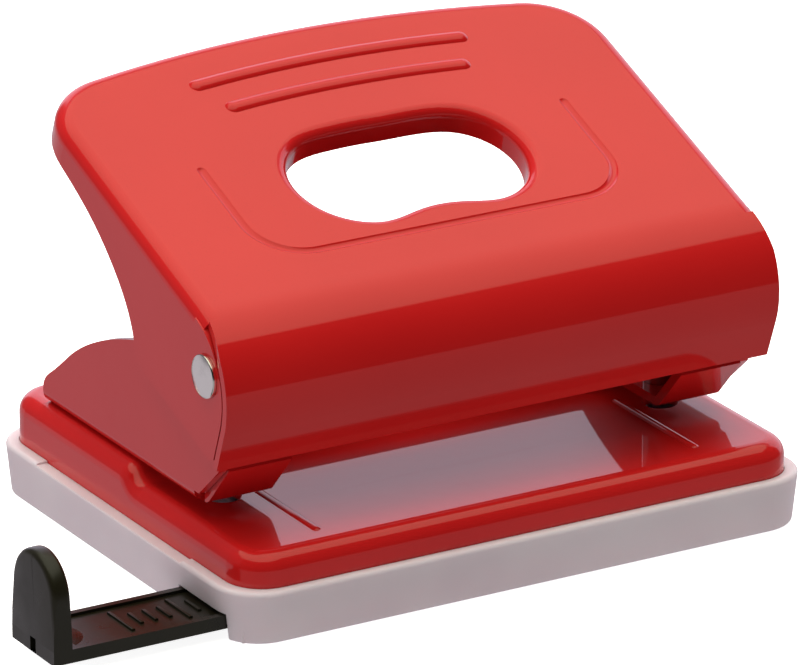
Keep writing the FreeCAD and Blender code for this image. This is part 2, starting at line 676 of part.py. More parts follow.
def punch_pin(x):
    body = cylinder(PIN_RADIUS, PIN_TOP - PIN_LOW, x, PIN_Y, PIN_LOW)
    dome = cylinder(PIN_RADIUS + 1, 2, x, PIN_Y, PIN_TOP - 1)
    dome = dome.cut(Part.makeSphere(PIN_DOME, Vector(x, PIN_Y, PIN_TOP - PIN_DOME)))
    body = body.cut(dome)
    groove = cylinder(PIN_RADIUS + 1, CLIP_SHEET, x, PIN_Y, CLIP_Z)
    groove = groove.cut(cylinder(PIN_GROOVE_RADIUS, CLIP_SHEET + 2, x, PIN_Y, CLIP_Z - 1))
    hollow = cylinder(PIN_RADIUS * 2.2, 20, x, PIN_Y - 10, PIN_LOW - PIN_RADIUS * 1.9, Y_AXIS)
    return body.cut(groove).cut(hollow)


def retaining_clip(x):
    ring = cylinder(CLIP_RADIUS, CLIP_SHEET, x, PIN_Y, CLIP_Z)
    ring = ring.cut(cylinder(PIN_GROOVE_RADIUS, 4, x, PIN_Y, CLIP_Z - 1))
    return ring.cut(box(x - 1.4, x + 1.4, PIN_Y, PIN_Y + 10, CLIP_Z - 1, CLIP_Z + 2))


def spring_washer(x):
    disc = cylinder(SEAT_RADIUS, SEAT_SHEET, x, PIN_Y, CLIP_Z - SEAT_SHEET)
    return disc.cut(cylinder(PIN_RADIUS, 4, x, PIN_Y, CLIP_Z - 2))


def return_spring(x):
    low = BRIDGE_Z + BRIDGE_SHEET + SPRING_WIRE / 2
    high = CLIP_Z - SEAT_SHEET - SPRING_WIRE / 2
    height = high - low
    helix = Part.makeHelix(height / SPRING_TURNS, height, SPRING_RADIUS)
    helix.translate(Vector(x, PIN_Y, low))
    start = Vector(x + SPRING_RADIUS, PIN_Y, low)
    ring = Part.Wire([Part.makeCircle(SPRING_WIRE / 2, start, Y_AXIS)])
    return Part.Wire(helix.Edges).makePipeShell([ring], True, True)


# ---- paper guide ----

def guide_bar(middle):
    """Flat bar with a recessed top, raised position marks and a round pad by the stop."""
    bar = box(STOP_OUTER, GUIDE_INNER, GUIDE_FRONT, GUIDE_BACK, GUIDE_LOW, GUIDE_LOW + GUIDE_SHEET)
    recess_z = GUIDE_LOW + GUIDE_SHEET - GUIDE_RECESS
    recess = box(STOP_OUTER + STOP_SHEET + 1, GUIDE_INNER - 3, GUIDE_FRONT + GUIDE_BORDER,
                 GUIDE_BACK - GUIDE_BORDER, recess_z, recess_z + 3)
    bar = bar.cut(recess)
    for i in range(TICK_COUNT):
        x = TICK_FIRST + i * TICK_SPACING
        reach = TICK_LONG if i % 4 == 0 else TICK_SHORT
        tick = box(x - TICK_WIDTH / 2, x + TICK_WIDTH / 2, middle - reach, middle + reach, recess_z - 0.1,
                   recess_z + TICK_RISE)
        bar = bar.fuse(tick)
    pad = cylinder(PAD_RADIUS, GUIDE_SHEET - 0.2, STOP_OUTER + STOP_SHEET + 0.6, middle - PAD_SHIFT,
                   GUIDE_LOW)
    return bar.fuse(pad)


def guide_stop(middle):
    """Upright stop with an arched top, rounded edges and a small notch at its foot."""
    half = (GUIDE_BACK - GUIDE_FRONT) / 2
    spring_line = STOP_TOP - half
    stop = box(STOP_OUTER, STOP_OUTER + STOP_SHEET, GUIDE_FRONT, GUIDE_BACK, GUIDE_LOW, spring_line)
    arch = cylinder(half, STOP_SHEET, STOP_OUTER, middle, spring_line, X_AXIS)
    stop = stop.fuse(arch).removeSplitter()
    rounded = edges_at(stop, lambda b, e: b.XLength < 0.01 and b.ZMax > GUIDE_LOW + 1)
    stop = stop.makeFillet(0.5, rounded)
    notch = box(STOP_OUTER - 1, STOP_OUTER + MARK_DEPTH, middle - MARK_HALF, middle + MARK_HALF,
                GUIDE_LOW - 1, MARK_TOP)
    return stop.cut(notch)


def paper_guide():
    middle = (GUIDE_FRONT + GUIDE_BACK) / 2
    return fused([guide_bar(middle), guide_stop(middle)])


def nodes():
    pin = {"punch_pin": punch_pin, "retaining_clip": retaining_clip, "spring_washer": spring_washer,
           "return_spring": return_spring}
    made = {"chip_tray": chip_tray(), "base_plate": base_plate(), "bracket": bracket(),
            "bracket_rivets": bracket_rivets(), "guide_bridge": guide_bridge(), "lever": lever(),
            "pressure_bar": pressure_bar(), "paper_guide": paper_guide()}
    for name, make in (("pivot_rivet", pivot_rivet), ("pivot_washer", pivot_washer)):
        made[name + "_right"] = make()
        made[name + "_left"] = mirrored(make())
    for name, make in pin.items():
        made[name + "_left"] = make(-PIN_X)
        made[name + "_right"] = make(PIN_X)
    return made


def main():
    os.makedirs("parts", exist_ok=True)
    for name, shape in nodes().items():
        shape.exportStep("parts/" + name + ".step")
        print(name, shape.isValid(), len(shape.Solids), [round(v, 2) for v in (
            shape.BoundBox.XMin, shape.BoundBox.XMax, shape.BoundBox.YMin, shape.BoundBox.YMax,
            shape.BoundBox.ZMin, shape.BoundBox.ZMax)], round(shape.Volume, 1))


main()
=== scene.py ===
"""Looks of a two-hole desk punch: lacquered steel, frosted chip tray and black paper guide."""

import logging
import math
from dataclasses import dataclass, field
from enum import Enum

import bmesh
import bpy
from mathutils import Matrix, Vector

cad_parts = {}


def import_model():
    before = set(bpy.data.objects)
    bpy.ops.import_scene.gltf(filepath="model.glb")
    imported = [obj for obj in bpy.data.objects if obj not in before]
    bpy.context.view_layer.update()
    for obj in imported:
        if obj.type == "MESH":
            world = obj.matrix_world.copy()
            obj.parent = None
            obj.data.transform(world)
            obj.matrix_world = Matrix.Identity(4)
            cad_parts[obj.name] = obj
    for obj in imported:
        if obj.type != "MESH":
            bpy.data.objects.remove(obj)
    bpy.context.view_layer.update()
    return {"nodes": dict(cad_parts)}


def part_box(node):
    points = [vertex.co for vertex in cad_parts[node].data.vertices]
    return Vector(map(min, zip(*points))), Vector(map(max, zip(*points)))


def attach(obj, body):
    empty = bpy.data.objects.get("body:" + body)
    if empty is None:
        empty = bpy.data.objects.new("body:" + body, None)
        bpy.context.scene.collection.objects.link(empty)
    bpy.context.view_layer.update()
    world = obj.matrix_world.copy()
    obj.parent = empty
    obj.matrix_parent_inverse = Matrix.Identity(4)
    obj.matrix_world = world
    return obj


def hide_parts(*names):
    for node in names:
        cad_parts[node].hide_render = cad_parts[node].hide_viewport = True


LOG = logging.getLogger("punch")
MM = 0.001
Rgb = tuple[float, float, float]
Point = tuple[float, float]
Span = tuple[float, float]

ALONG = Vector((1.0, 0.0, 0.0))
ACROSS = Vector((0.0, 1.0, 0.0))
UPWARD = Vector((0.0, 0.0, 1.0))

# Angles above which an edge is shaded sharp, and counts as a corner to round.
SHARP = math.radians(32.0)
CORNER = math.radians(50.0)

# Least part of a unit normal that makes a face look along an axis, and two tolerances in metres.
FACING = 0.9
TINY = 1e-6
CLOSE = 1e-5


# ---------------------------------------------------------------- shared effects


class Effect(Enum):
    """Shader node groups that several finishes share."""

    GRAIN = "surface_grain"
    CLOUD = "tone_drift"
    SCRATCH = "fine_scratches"
    DUST = "settled_dust"


class EffectLibrary:
    """Builds each shared node group once and places it in materials."""

    def __init__(self) -> None:
        """Builds every group of the Effect enum."""
        self.groups: dict[Effect, bpy.types.NodeTree] = {
            Effect.GRAIN: self._grain(),
            Effect.CLOUD: self._cloud(),
            Effect.SCRATCH: self._scratch(),
            Effect.DUST: self._dust(),
        }

    @staticmethod
    def _open(name: str, inputs: dict[str, float], output: str) -> tuple:
        """Starts a group that takes a position vector and numbers.

        Args:
            name: name of the group.
            inputs: number sockets and their default values.
            output: name of the single number that the group puts out.

        Returns:
            The tree, its input node and its output node.
        """
        tree = bpy.data.node_groups.new(name, "ShaderNodeTree")
        tree.interface.new_socket("Vector", in_out="INPUT", socket_type="NodeSocketVector")
        for key, value in inputs.items():
            socket = tree.interface.new_socket(key, in_out="INPUT", socket_type="NodeSocketFloat")
            socket.default_value = value
        tree.interface.new_socket(output, in_out="OUTPUT", socket_type="NodeSocketFloat")
        return tree, tree.nodes.new("NodeGroupInput"), tree.nodes.new("NodeGroupOutput")

    def _grain(self) -> bpy.types.NodeTree:
        """Fine even bumps, such as orange peel or a spark-eroded mould.

        Returns:
            The group, which puts out a height.
        """
        tree, source, sink = self._open("surface_grain", {"Scale": 900.0, "Detail": 3.0}, "Height")
        noise = tree.nodes.new("ShaderNodeTexNoise")
        tree.links.new(source.outputs["Vector"], noise.inputs["Vector"])
        tree.links.new(source.outputs["Scale"], noise.inputs["Scale"])
        tree.links.new(source.outputs["Detail"], noise.inputs["Detail"])
        tree.links.new(noise.outputs["Fac"], sink.inputs["Height"])
        return tree

    def _cloud(self) -> bpy.types.NodeTree:
        """Broad slow change of tone over a surface.

        Returns:
            The group, which puts out a value between its Low and High inputs.
        """
        tree, source, sink = self._open("tone_drift", {"Scale": 40.0, "Low": 0.0, "High": 1.0}, "Value")
        noise = tree.nodes.new("ShaderNodeTexNoise")
        noise.inputs["Detail"].default_value = 2.0
        ramp = tree.nodes.new("ShaderNodeMapRange")
        ramp.inputs["From Min"].default_value = 0.3
        ramp.inputs["From Max"].default_value = 0.7
        tree.links.new(source.outputs["Vector"], noise.inputs["Vector"])
        tree.links.new(source.outputs["Scale"], noise.inputs["Scale"])
        tree.links.new(noise.outputs["Fac"], ramp.inputs["Value"])
        tree.links.new(source.outputs["Low"], ramp.inputs["To Min"])
        tree.links.new(source.outputs["High"], ramp.inputs["To Max"])
        tree.links.new(ramp.outputs["Result"], sink.inputs["Value"])
        return tree

    def _scratch(self) -> bpy.types.NodeTree:
        """Hairline marks that run mostly one way.

        Returns:
            The group, which puts out a mask.
        """
        tree, source, sink = self._open("fine_scratches", {"Scale": 120.0, "Amount": 0.5}, "Mask")
        stretch = tree.nodes.new("ShaderNodeMapping")
        stretch.inputs["Scale"].default_value = (0.06, 1.0, 1.0)
        noise = tree.nodes.new("ShaderNodeTexNoise")
        noise.inputs["Detail"].default_value = 6.0
        noise.inputs["Roughness"].default_value = 0.7
        ramp = tree.nodes.new("ShaderNodeMapRange")
        ramp.inputs["From Min"].default_value = 0.55
        ramp.inputs["From Max"].default_value = 0.75
        scale = tree.nodes.new("ShaderNodeMath")
        scale.operation = "MULTIPLY"
        tree.links.new(source.outputs["Vector"], stretch.inputs["Vector"])
        tree.links.new(stretch.outputs["Vector"], noise.inputs["Vector"])
        tree.links.new(source.outputs["Scale"], noise.inputs["Scale"])
        tree.links.new(noise.outputs["Fac"], ramp.inputs["Value"])
        tree.links.new(ramp.outputs["Result"], scale.inputs[0])
        tree.links.new(source.outputs["Amount"], scale.inputs[1])
        tree.links.new(scale.outputs[0], sink.inputs["Mask"])
        return tree

    def _dust(self) -> bpy.types.NodeTree:
        """Sparse specks on faces that look up.

        Returns:
            The group, which puts out a mask.
        """
        tree, source, sink = self._open("settled_dust", {"Scale": 700.0, "Amount": 0.3}, "Mask")
        cells = tree.nodes.new("ShaderNodeTexVoronoi")
        ramp = tree.nodes.new("ShaderNodeMapRange")
        ramp.inputs["From Min"].default_value = 0.16
        ramp.inputs["From Max"].default_value = 0.06
        geometry = tree.nodes.new("ShaderNodeNewGeometry")
        split = tree.nodes.new("ShaderNodeSeparateXYZ")
        up = tree.nodes.new("ShaderNodeMath")
        up.operation = "MULTIPLY"
        scale = tree.nodes.new("ShaderNodeMath")
        scale.operation = "MULTIPLY"
        tree.links.new(source.outputs["Vector"], cells.inputs["Vector"])
        tree.links.new(source.outputs["Scale"], cells.inputs["Scale"])
        tree.links.new(cells.outputs["Distance"], ramp.inputs["Value"])
        tree.links.new(geometry.outputs["Normal"], split.inputs["Vector"])
        tree.links.new(split.outputs["Z"], up.inputs[0])
        tree.links.new(ramp.outputs["Result"], up.inputs[1])
        up.use_clamp = True
        tree.links.new(up.outputs[0], scale.inputs[0])
        tree.links.new(source.outputs["Amount"], scale.inputs[1])
        tree.links.new(scale.outputs[0], sink.inputs["Mask"])
        return tree


class Sheet:
    """One material's node tree, with short ways to place and join nodes."""

    def __init__(self, name: str, library: EffectLibrary) -> None:
        """Starts a material that holds a Principled shader and Object coordinates.

        Args:
            name: the material's name.
            library: the shared effects.
        """
        self.material = bpy.data.materials.new(name)
        self.material.use_nodes = True
        self.tree = self.material.node_tree
        self.library = library
        self.shader = self.tree.nodes["Principled BSDF"]
        self.place = self.tree.nodes.new("ShaderNodeTexCoord")

    def effect(self, kind: Effect, **values: float) -> bpy.types.NodeSocket:
        """Places a shared group on Object coordinates.

        Args:
            kind: which group.
            values: its number inputs.

        Returns:
            The group's output socket.
        """
        node = self.tree.nodes.new("ShaderNodeGroup")
        node.node_tree = self.library.groups[kind]
        self.tree.links.new(self.place.outputs["Object"], node.inputs["Vector"])
        for key, value in values.items():
            node.inputs[key].default_value = value
        return node.outputs[0]

    def blend(self, mask: bpy.types.NodeSocket, low: Rgb, high: Rgb) -> bpy.types.NodeSocket:
        """Mixes two colours by a mask.

        Args:
            mask: 0 for the first colour, 1 for the second.
            low: first colour.
            high: second colour.

        Returns:
            The mixed colour.
        """
        mix = self.tree.nodes.new("ShaderNodeMix")
        mix.data_type = "RGBA"
        mix.inputs["A"].default_value = (*low, 1.0)
        mix.inputs["B"].default_value = (*high, 1.0)
        self.tree.links.new(mask, mix.inputs["Factor"])
        return mix.outputs["Result"]

    def over(self, mask: bpy.types.NodeSocket, under: bpy.types.NodeSocket, top: Rgb) -> bpy.types.NodeSocket:
        """Lays a colour over another where a mask says.

        Args:
            mask: 0 for the colour below, 1 for the one on top.
            under: the colour below.
            top: the colour on top.

        Returns:
            The mixed colour.
        """
        mixed = self.blend(mask, top, top)
        self.tree.links.new(under, mixed.node.inputs["A"])
        return mixed

    def span(self, value: bpy.types.NodeSocket, low: float, high: float) -> bpy.types.NodeSocket:
        """Maps 0 to 1 onto another range.

        Args:
            value: the number to map.
            low: result at 0.
            high: result at 1.

        Returns:
            The mapped number.
        """
        node = self.tree.nodes.new("ShaderNodeMapRange")
        node.inputs["To Min"].default_value = low
        node.inputs["To Max"].default_value = high
        self.tree.links.new(value, node.inputs["Value"])
        return node.outputs["Result"]

    def bump(self, height: bpy.types.NodeSocket, strength: float, distance: float) -> None:
        """Sends a height to the shader's Normal through a Bump node.

        Args:
            height: the height socket.
            strength: the bump's strength.
            distance: its depth in metres.
        """
        node = self.tree.nodes.new("ShaderNodeBump")
        node.inputs["Strength"].default_value = strength
        node.inputs["Distance"].default_value = distance
        self.tree.links.new(height, node.inputs["Height"])
        self.tree.links.new(node.outputs["Normal"], self.shader.inputs["Normal"])

    def join(self, source: bpy.types.NodeSocket, target: str) -> None:
        """Links a socket to one of the shader's inputs.

        Args:
            source: the socket to read.
            target: the input's name.
        """
        self.tree.links.new(source, self.shader.inputs[target])

    def set(self, **values: object) -> None:
        """Sets the shader's own sockets; an underscore stands for a space.

        Args:
            values: each socket's name and value.
        """
        for key, value in values.items():
            self.shader.inputs[key.replace("_", " ")].default_value = value


# ---------------------------------------------------------------- finishes


@dataclass(frozen=True)
class Lacquer:
    """Glossy stoved lacquer on pressed steel."""

    name: str = "red_lacquer"
    deep: Rgb = (0.60, 0.0120, 0.0125)
    bright: Rgb = (0.65, 0.0150, 0.0145)
    speck: Rgb = (0.50, 0.0120, 0.0140)
    drift_scale: float = 22.0
    speck_scale: float = 900.0
    speck_amount: float = 0.35
    mark_scale: float = 160.0
    rough: Span = (0.32, 0.42)
    sheen: float = 0.06
    coat_rough: float = 0.03
    coat_ior: float = 1.5
    peel_scale: float = 260.0
    peel_strength: float = 0.12
    peel_depth: float = 0.2 * MM

    def build(self, library: EffectLibrary) -> bpy.types.Material:
        """Makes the material.

        Args:
            library: the shared effects.

        Returns:
            The finished material.
        """
        sheet = Sheet(self.name, library)
        drift = sheet.blend(sheet.effect(Effect.CLOUD, Scale=self.drift_scale), self.deep, self.bright)
        specks = sheet.effect(Effect.DUST, Scale=self.speck_scale, Amount=self.speck_amount)
        sheet.join(sheet.over(specks, drift, self.speck), "Base Color")
        marks = sheet.effect(Effect.SCRATCH, Scale=self.mark_scale, Amount=1.0)
        sheet.join(sheet.span(marks, *self.rough), "Roughness")
        sheet.set(Specular_IOR_Level=self.sheen, Coat_Weight=1.0, Coat_Roughness=self.coat_rough,
                  Coat_IOR=self.coat_ior)
        peel = sheet.effect(Effect.GRAIN, Scale=self.peel_scale, Detail=1.0)
        sheet.bump(peel, self.peel_strength, self.peel_depth)
        return sheet.material


@dataclass(frozen=True)
class Frosted:
    """Frosted milky plastic of the chip tray."""

    name: str = "frosted_tray"
    tint: Rgb = (0.80, 0.66, 0.71)
    milk: Rgb = (0.86, 0.73, 0.77)
    drift_scale: float = 60.0
    rough_scale: float = 300.0
    rough: Span = (0.40, 0.52)
    ior: float = 1.49
    scatter: float = 0.35
    scatter_depth: float = 4.0 * MM
    scatter_reach: Rgb = (1.0, 0.75, 0.75)
    grain_scale: float = 3200.0
    grain_strength: float = 0.12
    grain_depth: float = 0.05 * MM

    def build(self, library: EffectLibrary) -> bpy.types.Material:
        """Makes the material.

        Args:
            library: the shared effects.

        Returns:
            The finished material.
        """
        sheet = Sheet(self.name, library)
        drift = sheet.effect(Effect.CLOUD, Scale=self.drift_scale)
        sheet.join(sheet.blend(drift, self.tint, self.milk), "Base Color")
        sheet.join(sheet.span(sheet.effect(Effect.CLOUD, Scale=self.rough_scale), *self.rough), "Roughness")
        sheet.set(IOR=self.ior, Subsurface_Weight=self.scatter, Subsurface_Scale=self.scatter_depth,
                  Subsurface_Radius=self.scatter_reach)
        sheet.bump(sheet.effect(Effect.GRAIN, Scale=self.grain_scale), self.grain_strength, self.grain_depth)
        return sheet.material


@dataclass(frozen=True)
class Moulded:
    """Satin black plastic of the paper guide."""

    name: str = "black_moulded"
    dark: Rgb = (0.010, 0.009, 0.004)
    light: Rgb = (0.015, 0.013, 0.006)
    drift_scale: float = 90.0
    rough_scale: float = 250.0
    rough: Span = (0.26, 0.38)
    ior: float = 1.5
    grain_scale: float = 2600.0
    grain_strength: float = 0.15
    grain_depth: float = 0.04 * MM

    def build(self, library: EffectLibrary) -> bpy.types.Material:
        """Makes the material.

        Args:
            library: the shared effects.

        Returns:
            The finished material.
        """
        sheet = Sheet(self.name, library)
        drift = sheet.effect(Effect.CLOUD, Scale=self.drift_scale)
        sheet.join(sheet.blend(drift, self.dark, self.light), "Base Color")
        sheet.join(sheet.span(sheet.effect(Effect.CLOUD, Scale=self.rough_scale), *self.rough), "Roughness")
        sheet.set(IOR=self.ior)
        sheet.bump(sheet.effect(Effect.GRAIN, Scale=self.grain_scale), self.grain_strength, self.grain_depth)
        return sheet.material


@dataclass(frozen=True)
class Metal:
    """Bare or plated metal with a fine grain."""

    name: str
    tone: Rgb
    worn: Rgb
    rough: Span
    mark_scale: float
    fineness: float = 8.0
    grain_strength: float = 0.08
    grain_depth: float = 0.04 * MM

    def build(self, library: EffectLibrary) -> bpy.types.Material:
        """Makes the material.

        Args:
            library: the shared effects.

        Returns:
            The finished material.
        """
        sheet = Sheet(self.name, library)
        marks = sheet.effect(Effect.SCRATCH, Scale=self.mark_scale, Amount=1.0)
        sheet.join(sheet.blend(marks, self.tone, self.worn), "Base Color")
        sheet.join(sheet.span(marks, *self.rough), "Roughness")
        sheet.set(Metallic=1.0)
        grain = sheet.effect(Effect.GRAIN, Scale=self.mark_scale * self.fineness)
        sheet.bump(grain, self.grain_strength, self.grain_depth)
        return sheet.material


class Finish(Enum):
    """The finishes of the punch."""

    LACQUER = Lacquer()
    FROSTED = Frosted()
    MOULDED = Moulded()
    NICKEL = Metal("nickel_plate", (0.98, 0.95, 0.91), (0.90, 0.87, 0.84), (0.20, 0.32), 300.0)
    ZINC = Metal("zinc_plate", (0.66, 0.66, 0.64), (0.50, 0.50, 0.48), (0.28, 0.45), 220.0)
    GROUND = Metal("ground_steel", (0.62, 0.62, 0.62), (0.46, 0.46, 0.46), (0.18, 0.34), 500.0)
    WIRE = Metal("spring_wire", (0.50, 0.50, 0.50), (0.34, 0.34, 0.34), (0.22, 0.38), 700.0)


class Wardrobe:
    """Builds each finish once and puts it on objects."""

    def __init__(self, library: EffectLibrary) -> None:
        """Builds every finish.

        Args:
            library: the shared effects.
        """
        self.materials = {finish: finish.value.build(library) for finish in Finish}

    def dress(self, piece: bpy.types.Object, finish: Finish) -> None:
        """Gives a piece one finish all over.

        Args:
            piece: the object to dress.
            finish: the finish it takes.
        """
        piece.data.materials.clear()
        piece.data.materials.append(self.materials[finish])
        LOG.info("%s takes %s", piece.name, finish.name)


# ---------------------------------------------------------------- sub-assemblies


def arc(centre: Point, radius: float, start: float, stop: float, steps: int = 5) -> list[Point]:
    """Points of an arc in a section.

    Args:
        centre: the arc's centre.
        radius: its radius.
        start: first angle in degrees.
        stop: last angle in degrees.
        steps: how many runs it has.

    Returns:
        The points in order.
    """
    turns = [math.radians(start + (stop - start) * i / steps) for i in range(steps + 1)]
    return [(centre[0] + radius * math.cos(t), centre[1] + radius * math.sin(t)) for t in turns]


class Workshop:
    """Turns a bmesh into a finished piece of the punch."""

    def __init__(self, wardrobe: Wardrobe) -> None:
        """Keeps the finishes at hand.

        Args:
            wardrobe: the built finishes.
        """
        self.wardrobe = wardrobe

    def turn(self, shape: bmesh.types.BMesh, section: list[Point], place: Vector, axis: Vector,
             sweep: float = 360.0, steps: int = 48) -> list[bmesh.types.BMVert]:
        """Spins a section about an axis, as a lathe does.

        Args:
            shape: the bmesh that takes the result.
            section: radius and height of each corner, from the axis round to the axis.
            place: where height 0 lies on the axis.
            axis: the axis of the piece, a unit vector.
            sweep: how far the section turns, in degrees.
            steps: how many facets the sweep has.

        Returns:
            The new vertices.
        """
        out = axis.orthogonal().normalized()
        before = set(shape.verts)
        ring = [shape.verts.new(place + out * radius + axis * height) for radius, height in section]
        edges = [shape.edges.new(pair) for pair in zip(ring, ring[1:])]
        closed = sweep >= 360.0
        if not closed:
            edges.append(shape.edges.new((ring[-1], ring[0])))
        bmesh.ops.spin(shape, geom=ring + edges, cent=place, axis=axis, angle=math.radians(sweep),
                       steps=steps, use_merge=closed)
        made = [v for v in shape.verts if v not in before]
        bmesh.ops.remove_doubles(shape, verts=made, dist=0.001 * MM)
        if not closed:
            bmesh.ops.holes_fill(shape, edges=[e for e in shape.edges if e.is_boundary], sides=0)
        return [v for v in shape.verts if v not in before]

    def finish(self, shape: bmesh.types.BMesh, name: str, body: str, stands_for: list[str],
               finish: Finish, slot: str) -> bpy.types.Object:
        """Closes a bmesh into an object that rides, replaces and is dressed.

        Args:
            shape: the modelled bmesh.
            name: the piece's name.
            body: the body it moves with.
            stands_for: the CAD nodes it replaces.
            finish: its finish.
            slot: the record's material slot; not used.

        Returns:
            The finished object.
        """
        bmesh.ops.recalc_face_normals(shape, faces=shape.faces)
        mesh = bpy.data.meshes.new(name)
        shape.to_mesh(mesh)
        shape.free()
        for face in mesh.polygons:
            face.use_smooth = True
        mesh.set_sharp_from_angle(angle=SHARP)
        piece = bpy.data.objects.new(name, mesh)
        bpy.context.scene.collection.objects.link(piece)
        self.wardrobe.dress(piece, finish)
        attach(piece, body)
        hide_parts(*stands_for)
        return piece


@dataclass
class PressedSteel:
    """The lacquered and plated sheet parts, whose CAD shape is kept."""

    finishes: dict[str, Finish] = field(default_factory=lambda: {
        "chip_tray": Finish.FROSTED,
        "base_plate": Finish.LACQUER,
        "bracket": Finish.LACQUER,
        "lever": Finish.LACQUER,
        "guide_bridge": Finish.ZINC,
        "pressure_bar": Finish.ZINC,
        "return_spring_left": Finish.WIRE,
        "return_spring_right": Finish.WIRE,
    })

    def build(self, nodes: dict[str, bpy.types.Object], wardrobe: Wardrobe) -> None:
        """Dresses every kept node.

        Args:
            nodes: the CAD nodes by name.
            wardrobe: the built finishes.
        """
        for name, finish in self.finishes.items():
            wardrobe.dress(nodes[name], finish)


@dataclass
class PivotHardware:
    """Low-domed rivets and thin washers of the lever's pivot."""

    shank: float = 2.0 * MM
    edge: float = 0.42 * MM
    tail: float = 1.0 * MM
    tail_radius: float = 2.9 * MM
    head: float = 1.05 * MM
    rim: float = 0.3 * MM
    chamfer: float = 0.06 * MM

    def rivet(self, shop: Workshop, side: str) -> None:
        """Turns one rivet with a low domed head and a peened tail.

        Args:
            shop: the workshop.
            side: left or right.
        """
        low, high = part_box(f"pivot_rivet_{side}")
        away = Vector((-1.0 if side == "left" else 1.0, 0.0, 0.0))
        radius = (high.y - low.y) / 2
        length = high.x - low.x
        tip = low.x if side == "left" else high.x
        place = Vector((tip, (low.y + high.y) / 2, (low.z + high.z) / 2)) - away * length
        under = length - self.head
        section = [(0.0, 0.0), (self.tail_radius - self.edge, 0.0)]
        section += arc((self.tail_radius - self.edge, self.edge), self.edge, -90, 0)
        section += [(self.tail_radius, self.tail), (self.shank, self.tail)]
        section += [(self.shank, under), (radius, under)]
        section += arc((radius - self.rim, under + self.rim), self.rim, 0, 60)
        crown = self.head - self.rim * 1.5
        dome = (radius ** 2 + crown ** 2) / (2 * crown)
        spread = math.degrees(math.asin((radius - self.rim / 2) / dome))
        section += arc((0.0, length - dome), dome, 90 - spread, 90, 10)
        shape = bmesh.new()
        shop.turn(shape, section, place, away, steps=64)
        shop.finish(shape, f"pivot_rivet_turned_{side}", "base", [f"pivot_rivet_{side}"], Finish.NICKEL,
                    "nickel")

    def washer(self, shop: Workshop, side: str) -> None:
        """Turns one washer with broken edges.

        Args:
            shop: the workshop.
            side: left or right.
        """
        low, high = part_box(f"pivot_washer_{side}")
        place = Vector((low.x, (low.y + high.y) / 2, (low.z + high.z) / 2))
        radius = (high.y - low.y) / 2
        flat_ring(shop, place, ALONG, (self.shank, radius, high.x - low.x, self.chamfer),
                  f"pivot_washer_turned_{side}", "base", f"pivot_washer_{side}")

    def build(self, shop: Workshop) -> None:
        """Makes both sides.

        Args:
            shop: the workshop.
        """
        for side in ("left", "right"):
            self.rivet(shop, side)
            self.washer(shop, side)


def flat_ring(shop: Workshop, place: Vector, axis: Vector, sizes: tuple[float, float, float, float],
              name: str, body: str, node: str) -> None:
    """Turns a flat ring with chamfered edges.

    Args:
        shop: the workshop.
        place: the middle of its lower face.
        axis: its axis.
        sizes: inner radius, outer radius, thickness and chamfer.
        name: the piece's name.
        body: the body it rides on.
        node: the CAD node it replaces.
    """
    inner, outer, thick, cut = sizes
    section = [(inner, cut), (inner + cut, 0.0), (outer - cut, 0.0), (outer, cut), (outer, thick - cut),
               (outer - cut, thick), (inner + cut, thick), (inner, thick - cut), (inner, cut)]
    shape = bmesh.new()
    shop.turn(shape, section, place, axis, steps=56)
    shop.finish(shape, name, body, [node], Finish.ZINC, "zinc_steel")


@dataclass
class BracketRivets:
    """Four button-headed rivets that hold the bracket to the base plate."""

    inset: float = 3.0 * MM
    shank: float = 1.6 * MM
    head: float = 1.2 * MM
    tail: float = 0.8 * MM
    tail_radius: float = 2.6 * MM
    brim: float = 0.3 * MM

    def build(self, shop: Workshop) -> None:
        """Turns the four rivets into one piece.

        Args:
            shop: the workshop.
        """
        low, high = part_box("bracket_rivets")
        length = high.z - low.z
        crown = self.head - self.brim
        dome = (self.inset ** 2 + crown ** 2) / (2 * crown)
        spread = math.degrees(math.asin(self.inset / dome))
        section = [(0.0, 0.0), (self.tail_radius, 0.0), (self.tail_radius, self.tail),
                   (self.shank, self.tail), (self.shank, length - self.head),
                   (self.inset, length - self.head)]
        section += arc((0.0, length - dome), dome, 90 - spread, 90, 8)
        shape = bmesh.new()
        for x in (low.x + self.inset, high.x - self.inset):
            for y in (low.y + self.inset, high.y - self.inset):
                shop.turn(shape, section, Vector((x, y, low.z)), UPWARD, steps=40)
        shop.finish(shape, "bracket_rivets_turned", "base", ["bracket_rivets"], Finish.LACQUER,
                    "red_paint")


